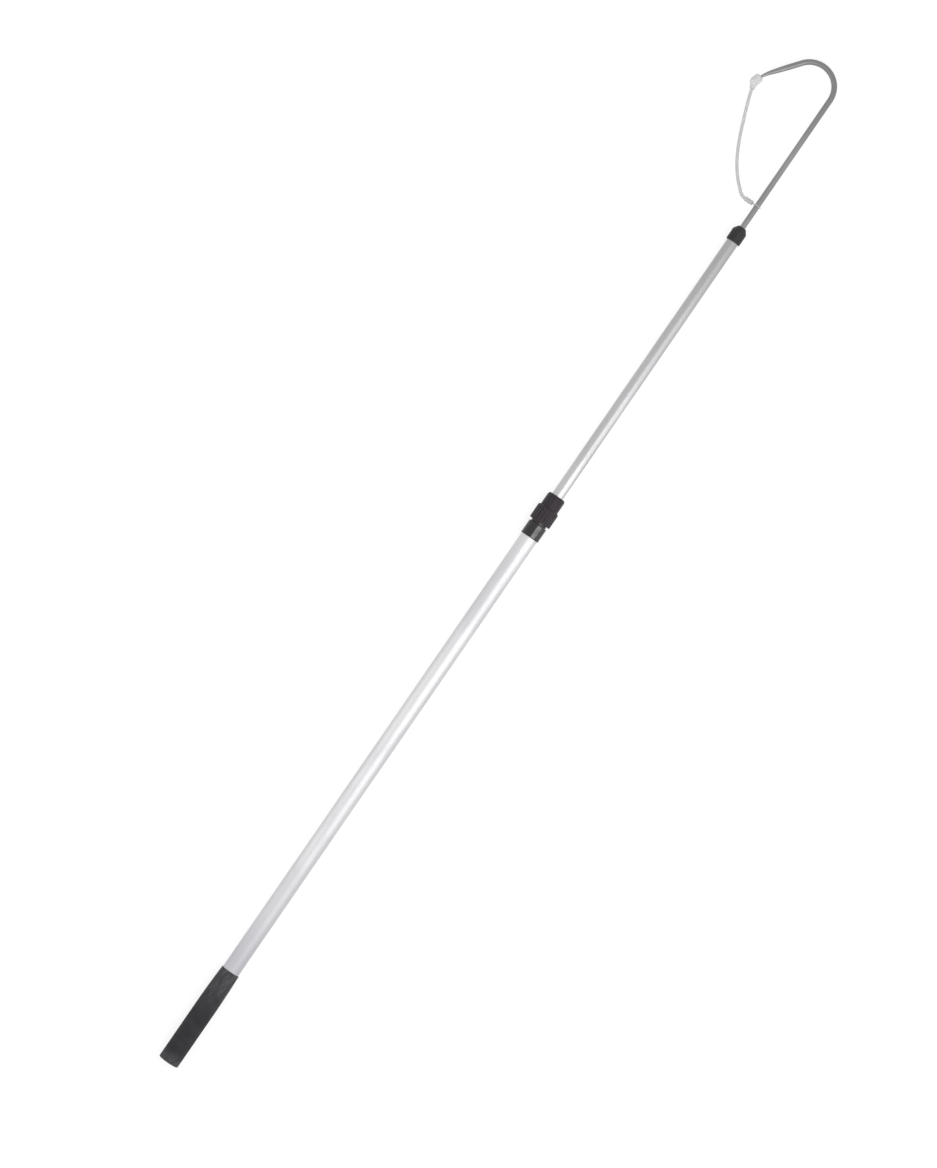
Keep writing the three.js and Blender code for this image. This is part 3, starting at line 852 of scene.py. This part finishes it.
@dataclass
class TwistLock:
    """The collar on the wide tube, its threaded neck and the nut that closes the split ring."""

    collar_start: float = 764.2
    collar_front: float = 782.3
    collar_radius: float = 12.1
    collar_edge: float = 0.6
    part_line: float = 0.06
    sleeve_start: float = 757.2
    tube_end: float = 781.2
    tube_radius: float = 11.0
    tube_bore: float = 9.8
    fit: float = 0.1
    run: float = 0.3
    neck_end: float = 799.3
    neck_root: float = 10.05
    thread_top: float = 10.65
    thread_pitch: float = 2.0
    thread_width: float = 1.75
    thread_crest: float = 0.55
    thread_turns: int = 4
    thread_steps: int = 96
    guide_bore: float = 7.8
    ring_radius: float = 9.4
    ring_end: float = 8.4
    ring_cone: float = 5.5
    ring_finish: float = 807.3
    nut_start: float = 785.5
    nut_length: float = 38.0
    nut_radius: float = 14.0
    nut_grip: float = 19.0
    nut_shoulder: float = 1.6
    nut_front: float = 11.7
    nut_chamfer: float = 2.4
    nut_chamfer_depth: float = 1.4
    nut_edge: float = 0.55
    flutes: int = 20
    flute_facets: int = 10
    flute_depth: float = 0.7
    flute_runout: float = 1.2
    facets: int = 144

    def collar(self) -> None:
        """Moulds the glossy collar with its inner sleeve and bare neck."""
        bore = self.tube_radius + self.fit
        sleeve = self.tube_bore - self.fit
        cone = self.neck_end - self.ring_cone - self.run
        outline = stepped(
            (self.collar_start, bore, self.collar_radius),
            (self.collar_front, self.collar_radius, self.neck_root),
            (self.neck_end, self.neck_root, self.ring_radius + self.run),
            (cone, self.ring_end + self.run, self.guide_bore),
            (self.sleeve_start, self.guide_bore, sleeve),
            (self.tube_end + self.fit, sleeve, bore),
        )
        piece = Workpiece.turned("lock_collar", outline, self.facets, hold=0.9)
        piece.round_edges(self.collar_edge, segments=4)
        piece.part_lines(self.part_line, self.tube_radius + 4 * self.fit)
        piece.set_down(self.gloss(), Slot.LOCK_BODY, Body.HANDLE, "lock_body")

    @staticmethod
    def gloss() -> MouldedFinish:
        """The glossy black of the collar."""
        return MouldedFinish(
            "gloss_black_collar", colour=(0.008, 0.008, 0.009), clouded=(0.011, 0.0105, 0.012),
            rubbed=(0.05, 0.05, 0.055), roughness=0.1, grain_size=1.8, grain_depth=0.006,
            uneven_gloss=0.025
        )

    def thread(self) -> None:
        """Winds the thread that shows between collar and nut round the neck."""
        clear_bench()
        foot = self.neck_root - 2 * self.fit
        height = self.thread_top - foot
        bpy.ops.mesh.primitive_plane_add(size=1, rotation=(math.pi / 2, 0, 0))
        piece = Workpiece(bpy.context.object, "neck_thread")
        bpy.ops.object.transform_apply()
        piece.edit()
        bpy.ops.mesh.delete(type="ONLY_FACE")
        bpy.ops.mesh.select_all(action="SELECT")
        bpy.ops.transform.resize(value=(self.thread_width, 1, height), center_override=(0, 0, 0))
        piece.select(lambda v: v.co.z > 0)
        share = self.thread_crest / self.thread_width
        bpy.ops.transform.resize(value=(share, 1, 1), center_override=(0, 0, height / 2))
        bpy.ops.mesh.select_all(action="SELECT")
        start = self.collar_front - self.thread_width / 2
        bpy.ops.transform.translate(value=(start, 0, foot + height / 2))
        bpy.ops.object.mode_set(mode="OBJECT")
        piece.modify(
            "SCREW", axis="X", angle=2 * math.pi, screw_offset=self.thread_pitch,
            iterations=self.thread_turns, steps=self.thread_steps, render_steps=self.thread_steps,
            use_merge_vertices=False
        )
        piece.edit()
        bpy.ops.mesh.fill_holes(sides=0)
        piece.close()
        piece.set_down(self.gloss(), Slot.LOCK_BODY, Body.HANDLE)

    def nut(self) -> None:
        """Moulds the nut: a fluted grip, a shoulder and a plain front with a chamfer."""
        neck = self.thread_top + self.run
        ring = self.ring_radius + self.run
        grip_end = self.nut_start + self.nut_grip
        end = self.nut_start + self.nut_length
        cone = self.ring_finish + self.run
        outline = stepped(
            (self.nut_start, neck, self.nut_radius),
            (grip_end, self.nut_radius),
            (grip_end + self.nut_shoulder, self.nut_front),
            (end - self.nut_chamfer, self.nut_front),
            (end, self.nut_front - self.nut_chamfer_depth, self.guide_bore),
            (cone, self.guide_bore, self.ring_end + self.run),
            (cone - self.ring_cone, ring),
            (self.neck_end + self.run, ring, neck),
        )
        piece = Workpiece.turned("lock_nut_body", outline, self.flutes * self.flute_facets, hold=0.7)
        piece.round_edges(self.nut_edge, segments=4)
        self.cut_flutes(piece, grip_end)
        finish = MouldedFinish(
            "matt_black_nut", colour=(0.031, 0.0245, 0.03), clouded=(0.038, 0.0303, 0.037),
            rubbed=(0.056, 0.047, 0.0545), roughness=0.42, gloss=0.2
        )
        piece.set_down(finish, Slot.LOCK_NUT, Body.LOCK_NUT, "lock_nut", smooth=48)

    def cut_flutes(self, piece: Workpiece, grip_end: float) -> None:
        """Presses round-bottomed flutes into the nut's grip.

        Args:
            piece: the nut.
            grip_end: the station at which the grip ends.
        """
        step = 2 * math.pi / (self.flutes * self.flute_facets)
        for place in range(1, self.flute_facets):
            depth = self.flute_depth * math.sin(math.pi * place / self.flute_facets) ** 2
            share = 1 - depth / self.nut_radius

            def in_flute(vertex: bmesh.types.BMVert, place: int = place) -> bool:
                """Whether a corner of the grip's outside lies at this place of a flute."""
                x, y, z = vertex.co
                facet = round(math.atan2(z, y) / step) % self.flute_facets
                outside = math.hypot(y, z) > self.nut_front + self.run
                return outside and x < grip_end + self.flute_runout and facet == place

            piece.stretch(in_flute, (1, share, share))

    def build(self) -> None:
        """Makes the collar, its thread and the nut."""
        self.collar()
        self.thread()
        self.nut()


# The sliding section


@dataclass
class SlidingSection:
    """The narrow tube and the nose that closes it round the hook's shank."""

    tube_start: float = 484.7
    tube_length: float = 720.0
    tube_radius: float = 7.5
    tube_wall: float = 1.2
    tube_edge: float = 0.25
    groove_back: float = 16.0
    groove_width: float = 4.2
    groove_depth: float = 0.9
    groove_slope: float = 0.8
    nose_start: float = 1194.2
    nose_radius: float = 9.25
    nose_skirt: float = 15.0
    nose_cone: float = 6.0
    nose_tip: float = 5.0
    nose_edge: float = 0.7
    nose_floor: float = 12.7
    part_line: float = 0.06
    rod_radius: float = 3.5
    fit: float = 0.1
    facets: int = 128

    def tube(self) -> None:
        """Draws the narrow tube, with the groove rolled into its lower end."""
        radius, depth, slope = self.tube_radius, self.groove_depth, self.groove_slope
        bore = radius - self.tube_wall
        end = self.tube_start + self.tube_length
        back = self.tube_start + self.groove_back
        front = back + self.groove_width
        groove = ((back, 0), (back + slope, depth), (front - slope, depth), (front, 0))
        outline = stepped(
            (self.tube_start, bore, radius),
            *((station, radius - sunk) for station, sunk in groove),
            (end, radius, bore),
            *((station, bore - sunk) for station, sunk in reversed(groove)),
        )
        piece = Workpiece.turned("narrow_tube", outline, self.facets)
        piece.round_edges(self.tube_edge)
        # painted shade: the tube is darker towards the nose, past the lamps' reach
        finish = DrawnMetalFinish(
            "anodised_narrow_tube", colour=(0.505, 0.505, 0.508), dull=(0.465, 0.465, 0.472),
            roughness=0.32, line_size=0.24, painted_shade_from=940, painted_shade_to=1215, painted_shade=(0.385, 0.385, 0.39)
        )
        piece.set_down(finish, Slot.TUBE, Body.HOOK_SECTION, "inner_tube")

    def nose(self) -> None:
        """Moulds the nose: a skirt over the tube's end and a short cone down to the rod."""
        skirt = self.nose_start + self.nose_skirt
        tube, rod = self.tube_radius + self.fit, self.rod_radius + self.fit
        outline = stepped(
            (self.nose_start, tube, self.nose_radius),
            (skirt, self.nose_radius),
            (skirt + self.nose_cone, self.nose_tip, rod),
            (self.nose_start + self.nose_floor, rod, tube),
        )
        piece = Workpiece.turned("nose_cone", outline, self.facets, hold=1.0)
        piece.round_edges(self.nose_edge, segments=4)
        piece.part_lines(self.part_line, self.tube_radius + self.nose_edge)
        finish = MouldedFinish(
            "matt_black_nose", colour=(0.021, 0.021, 0.022), clouded=(0.029, 0.029, 0.030),
            rubbed=(0.08, 0.08, 0.082), roughness=0.55, gloss=0.35
        )
        piece.set_down(finish, Slot.NOSE, Body.HOOK_SECTION, "nose_ferrule")

    def build(self) -> None:
        """Makes the tube and the nose."""
        self.tube()
        self.nose()


# The hook


@dataclass
class GaffHook:
    """The bent rod: a long shank, the bend and a ground point that curves in a little."""

    tail: float = 1129.7
    bend_start: float = 1400.2
    radius: float = 3.5
    bend_radius: float = 30.0
    bend: float = 141.0
    point_straight: float = 38.0
    point_curve: float = 24.0
    point_curve_radius: float = 60.0
    taper: float = 47.0
    taper_fullness: float = 0.9
    taper_rings: int = 60
    tip_radius: float = 0.4
    tip_edge: float = 0.15
    cap_radius: float = 5.8
    nut_radius: float = 14.0
    cap_length: float = 15.0
    cap_engagement: float = 10.0
    spacing: float = 0.75
    facets: int = 64
    painted_shade_before: float = 100.0  # where painted shade starts to darken the steel, before the bend
    painted_shade_past: float = 40.0
    ground_share: float = 0.8  # of the taper, which is fully ground
    tip: Vector = field(default_factory=Vector)
    tip_angle: float = 0.0

    def line(self) -> list[Vector]:
        """The centreline in the hook's own plane, from the tail at its start to the tip.

        Returns:
            Points that lie close together.
        """
        runs = (
            (self.bend_start - self.tail, 0.0),
            (self.bend_radius * math.radians(self.bend), 1 / self.bend_radius),
            (self.point_straight, 0.0),
            (self.point_curve, 1 / self.point_curve_radius),
        )
        place, angle = Vector((self.tail, 0, 0)), 0.0
        points = [place.copy()]
        for length, turning in runs:
            steps = math.ceil(length / self.spacing)
            for _ in range(steps):
                angle += turning * length / steps / 2
                place += Vector((math.cos(angle), math.sin(angle), 0)) * (length / steps)
                angle += turning * length / steps / 2
                points.append(place.copy())
        self.tip, self.tip_angle = place, angle
        return points

    def plane(self) -> Matrix:
        """The hook's plane, rolled about the pole until the cap meets the floor."""
        reach = (self.cap_length - self.cap_engagement) * math.sin(self.tip_angle) / 2
        roll = math.asin((self.nut_radius - self.cap_radius) / (self.tip.y + reach))
        return Matrix.Rotation(-roll, 4, "X")

    def radius_at(self, from_tip: float) -> float:
        """The rod's radius at a distance back from the tip."""
        full = math.sin(min(from_tip / self.taper, 1) * math.pi / 2) ** self.taper_fullness
        return self.tip_radius + (self.radius - self.tip_radius) * full

    def build(self) -> None:
        """Turns the rod straight with its ground point, and bends it along its line."""
        line = self.line()
        length = length_of(line)
        shank = length - self.taper
        stations = spread(0, shank, math.ceil(shank / (2 * self.spacing)))
        backs = [self.taper * (1 - share) for share in spread(0, 1, self.taper_rings)]
        outline = [(station, self.radius) for station in stations[:-1]]
        outline += [(length - back, self.radius_at(back)) for back in backs]
        piece = Workpiece.turned("gaff_hook", outline, self.facets, solid=True)
        piece.round_edges(self.tip_edge, sharper_than=60)
        piece.bend_along(line, "Z_UP")
        piece.place(self.plane())
        # painted shade: the steel is darker round the bend, past the lamps' reach
        finish = DrawnMetalFinish(
            "satin_hook_steel", colour=(0.30, 0.30, 0.305), dull=(0.255, 0.255, 0.26), roughness=0.33,
            line_size=0.22, follows=Follows.LENGTH,
            painted_shade_from=self.bend_start - self.tail - self.painted_shade_before,
            painted_shade_to=self.bend_start - self.tail + self.painted_shade_past, painted_shade=(0.225, 0.225, 0.228),
            ground_from=shank, ground_to=length - self.ground_share * self.taper,
            ground=(0.25, 0.25, 0.25)
        )
        piece.set_down(finish, Slot.ROD, Body.HOOK_SECTION, "hook_rod", smooth=50)


# Loop, sleeve, lead and cap


@dataclass
class PointGuard:
    """The wire loop on the shank, its crimped sleeve, the clear lead and the cap on the point."""

    hook: GaffHook
    loop_station: float = 1246.5
    drop: float = 17.0
    wire_radius: float = 0.7
    wire_facets: int = 24
    loop_clearance: float = 0.2
    loop_rings: int = 110
    round_steps: int = 56
    tail_spacing: float = 1.9
    neck_radius: float = 2.5
    neck_steps: int = 10
    crimp_reach: float = 7.5
    crimp_radius: float = 2.9
    crimp_length: float = 11.0
    crimp_rings: int = 40
    crimp_facets: int = 64
    crimp_edge: float = 0.28
    band_shares: Pair = (0.27, 0.7)
    presses: tuple[Pair, ...] = ((1.15, 0.975), (0.85, 0.968), (0.55, 0.97))
    press_slack: float = 0.008
    tail_depth: float = 4.5
    hole_facets: int = 48
    socket_depth: float = 4.0
    cut: float = 0.3
    past: float = 1.0  # how far a cutter stands out of what it cuts
    cap_mouth: float = 4.4
    cap_mouth_taper: float = 3.5
    cap_bore: float = 0.5
    cap_bore_tip: float = 0.2
    cap_relief: float = 0.8
    cap_facets: int = 72
    mouth_steps: int = 6
    dome_steps: int = 16
    dome_pole: float = 3.0  # degrees from the dome's pole at which a flat face closes it
    cap_grain: float = 0.2
    cap_smoothing: int = 8
    cap_edge: float = 0.18
    spout_radius: float = 3.4
    spout_root: float = 4.2
    spout_reach: float = 9.6
    spout_angle: float = 31.0
    spout_socket: float = 3.6
    lead_radius: float = 2.0
    lead_facets: int = 32
    lead_edge: float = 0.25
    lead_spacing: float = 0.8
    route_steps: int = 12
    route: tuple[Triple, ...] = (  # metres
        (1.2465, 0.0142, -0.00582), (1.2465, 0.0174, -0.00713), (1.2471, 0.0208, -0.0084),
        (1.2492, 0.0247, -0.0096), (1.2529, 0.0289, -0.0105), (1.2575, 0.0338, -0.0112),
        (1.2633, 0.0393, -0.0117), (1.2708, 0.0454, -0.0119), (1.2798, 0.0516, -0.01195),
        (1.2898, 0.0573, -0.01195), (1.3008, 0.0627, -0.01195), (1.3123, 0.0677, -0.0119),
        (1.3238, 0.0723, -0.0115), (1.3353, 0.0768, -0.0105), (1.3460, 0.0809, -0.0091),
        (1.3554, 0.0840, -0.0080), (1.3628, 0.08596, -0.00795),
    )

    def hanger(self) -> Matrix:
        """Where the loop hangs: on the shank, dropped a little below the hook's plane."""
        drop = Matrix.Rotation(-math.radians(self.drop), 4, "X")
        return self.hook.plane() @ Matrix.Translation((self.loop_station, 0, 0)) @ drop

    def loop_line(self) -> list[Vector]:
        """The wire's centreline: a tail, a neck, round the shank, and back.

        Returns:
            Points in the hanger's YZ plane.
        """
        radius = self.hook.radius + self.loop_clearance + self.wire_radius
        half = self.tail_spacing / 2
        rise = half + self.neck_radius
        meet = math.degrees(math.asin(rise / (radius + self.neck_radius)))
        neck = math.sqrt((radius + self.neck_radius) ** 2 - rise**2)
        near = [
            (self.crimp_reach + self.tail_depth, half),
            (self.crimp_reach + self.tail_depth / 2, half),
            *arc((neck, rise), self.neck_radius, -90, meet - 180, self.neck_steps),
        ]
        round_shank = arc((0, 0), radius, meet, 360 - meet, self.round_steps)[1:-1]
        far = [(y, -z) for y, z in reversed(near)]
        return [Vector((0, y, z)) for y, z in (*near, *round_shank, *far)]

    def loop(self) -> None:
        """Bends the wire loop from straight wire."""
        line = self.loop_line()
        outline = [(s, self.wire_radius) for s in spread(0, length_of(line), self.loop_rings)]
        piece = Workpiece.turned("loop_wire", outline, self.wire_facets, solid=True)
        piece.bend_along(line)
        piece.place(self.hanger())
        piece.set_down(self.bright("bright_loop_wire"), Slot.WIRE, Body.HOOK_SECTION, "guard_loop")

    @staticmethod
    def bright(name: str) -> DrawnMetalFinish:
        """Bright stainless wire and sleeve."""
        return DrawnMetalFinish(
            name, colour=(0.52, 0.52, 0.525), dull=(0.43, 0.43, 0.435), roughness=0.27, line_size=0.15,
            patch_size=4, scratch_depth=0.006
        )

    def sleeve(self) -> None:
        """Turns the sleeve and presses it onto the wire's tails and onto the lead."""
        lead = self.lead_radius + self.cut
        stations = spread(0, self.crimp_length, self.crimp_rings)
        outline = [(station, self.crimp_radius) for station in stations]
        outline += [(self.crimp_length, lead), (self.crimp_length - self.socket_depth, lead)]
        piece = Workpiece.turned("crimped_sleeve", outline, self.crimp_facets, hold=0.35, solid=True)
        piece.round_edges(self.crimp_edge)
        for share in self.band_shares:
            middle = self.crimp_length * share
            for reach, press in self.presses:
                piece.stretch(
                    lambda v: abs(v.co.x - middle) < reach and v.co.yz.length > lead + self.cut / 2,
                    (1, press + self.press_slack, press),
                )
        hole_radius = self.wire_radius + self.cut
        hole_line = [(-self.past, hole_radius), (self.tail_depth + self.cut, hole_radius)]
        for side in (-1, 1):
            hole = Workpiece.turned("tail_hole", hole_line, self.hole_facets, solid=True)
            hole.place(Matrix.Translation((0, 0, side * self.tail_spacing / 2)))
            piece.take(hole, "DIFFERENCE")
        out = Matrix.Translation((0, self.crimp_reach, 0)) @ Matrix.Rotation(math.pi / 2, 4, "Z")
        piece.place(self.hanger() @ out)
        piece.set_down(self.bright("pressed_sleeve"), Slot.WIRE, Body.HOOK_SECTION, "crimp_sleeve")

    def cap(self) -> None:
        """Moulds the soft cap with its spout, hollow where the point and the lead go in."""
        hook = self.hook
        mouth = -hook.cap_engagement
        dome = hook.cap_length - hook.cap_engagement - hook.cap_radius
        swell = hook.cap_radius - self.cap_mouth
        backs = spread(0, self.cap_mouth_taper, self.mouth_steps)
        turns = spread(0, math.pi / 2, self.mouth_steps)
        skin = [(mouth + back, self.cap_mouth + swell * math.sin(a)) for back, a in zip(backs, turns)]
        skin += arc((dome, 0), hook.cap_radius, 90, self.dome_pole, self.dome_steps)
        lead = self.lead_radius + self.cut
        socket_start, spout_end = self.spout_reach - self.spout_socket, self.spout_reach + self.past
        point = hook.radius_at(hook.cap_engagement + self.past) + self.cap_bore
        tip = hook.radius_at(0) + self.cap_bore
        outlines = {
            "point_cap": skin,
            "spout": [(0, self.spout_root), (self.spout_reach, self.spout_radius)],
            "socket": [(socket_start, lead), (spout_end, lead)],
            "bore": [(mouth - self.past, point), (0, tip), (self.cap_relief, self.cap_bore_tip)],
        }
        body, spout, socket, bore = (
            Workpiece.turned(name, outline, self.cap_facets, solid=True)
            for name, outline in outlines.items()
        )
        leaning = Matrix.Rotation(math.radians(self.spout_angle), 4, "Z")
        spout.place(Matrix.Translation((dome, 0, 0)) @ leaning)
        socket.place(Matrix.Translation((dome, 0, 0)) @ leaning)
        chord = hook.cap_engagement / (2 * hook.point_curve_radius)
        bore.place(Matrix.Rotation(-chord, 4, "Z"))
        body.take(spout, "UNION")
        body.modify("REMESH", mode="VOXEL", voxel_size=self.cap_grain)
        body.modify("SMOOTH", factor=0.5, iterations=self.cap_smoothing)
        body.take(socket, "DIFFERENCE")
        body.take(bore, "DIFFERENCE")
        body.round_edges(self.cap_edge, sharper_than=60)
        at_tip = Matrix.Translation((hook.tip.x, hook.tip.y, 0))
        body.place(hook.plane() @ at_tip @ Matrix.Rotation(hook.tip_angle, 4, "Z"))
        finish = ClearPlasticFinish(
            "milky_cap", colour=(0.95, 0.95, 0.94), hazy=(0.97, 0.97, 0.96), roughness=0.45,
            clearness=0.15, milkiness=0.5
        )
        body.set_down(finish, Slot.CAP, Body.TIP_CAP, "tip_cap", smooth=50)

    def lead_line(self) -> list[Vector]:
        """The lead's centreline, a smooth curve through its route.

        Returns:
            Points in metres.
        """
        guide, spline = new_curve("BEZIER")
        guide.data.resolution_u = self.route_steps
        spline.bezier_points.add(len(self.route) - 1)
        for point, place in zip(spline.bezier_points, self.route):
            point.co = place
            point.handle_left_type = point.handle_right_type = "AUTO"
        bpy.context.view_layer.update()
        line = [vertex.co.copy() for vertex in guide.to_mesh().vertices]
        guide.to_mesh_clear()
        bpy.data.curves.remove(guide.data)
        return line

    def lead(self) -> None:
        """Lays the clear lead from the sleeve round to the cap's spout."""
        line = self.lead_line()
        length = length_of(line)
        stations = spread(0, length / MM, math.ceil(length / MM / self.lead_spacing))
        outline = [(station, self.lead_radius) for station in stations]
        piece = Workpiece.turned("point_lead", outline, self.lead_facets, solid=True)
        piece.round_edges(self.lead_edge, sharper_than=60)
        piece.bend_along([point / MM for point in line])
        finish = ClearPlasticFinish(
            "clear_lead", colour=(0.77, 0.775, 0.78), hazy=(0.83, 0.835, 0.84), roughness=0.34,
            clearness=0.2, milkiness=0.25, follows=Follows.LENGTH, haze_size=3, ripple=0.002
        )
        tube = piece.set_down(finish, Slot.LEAD, None, "guard_lead", smooth=50)
        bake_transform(tube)

    def build(self) -> None:
        """Makes the lead, the loop, the sleeve and the cap."""
        self.lead()
        self.loop()
        self.sleeve()
        self.cap()


# The pieces inside


def dress_inner_pieces(nodes: dict[str, bpy.types.Object]) -> None:
    """Gives the pieces that work inside the pole their own finishes.

    Args:
        nodes: the CAD pieces by name.
    """
    acetal = MouldedFinish(
        "natural_acetal", colour=(0.70, 0.68, 0.62), clouded=(0.66, 0.64, 0.58),
        rubbed=(0.76, 0.74, 0.68), roughness=0.42, grain_size=0.6, grain_depth=0.01
    )
    insert = MouldedFinish(
        "dark_insert", colour=(0.05, 0.05, 0.055), clouded=(0.062, 0.062, 0.067),
        rubbed=(0.1, 0.1, 0.105), roughness=0.55, gloss=0.4, grain_size=0.5
    )
    colour, dull = (0.5, 0.5, 0.51), (0.42, 0.42, 0.43)
    pin = DrawnMetalFinish("pin_steel", colour=colour, dull=dull, roughness=0.3, patch_size=3)
    dressed = {
        acetal: ("clamp_ring", "guide_bush"),
        insert: ("butt_plug", "inner_end_plug", "front_bush", "rear_bush"),
        pin: ("cross_pin",),
    }
    for finish, names in dressed.items():
        material = finish.material()
        for name in names:
            nodes[name].material_slots[0].material = material
            log.info("%s keeps its shape", name)


def main() -> None:
    """Builds the gaff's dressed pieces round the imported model."""
    logging.basicConfig(level=logging.INFO, format="%(name)s: %(message)s")
    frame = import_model()
    Studio().build()
    hook = GaffHook()
    hook.build()
    PointGuard(hook).build()
    Handle().build()
    TwistLock().build()
    SlidingSection().build()
    dress_inner_pieces(frame["nodes"])
    clear_bench()
    log.info("sizes written")


if __name__ == "__main__":
    main()
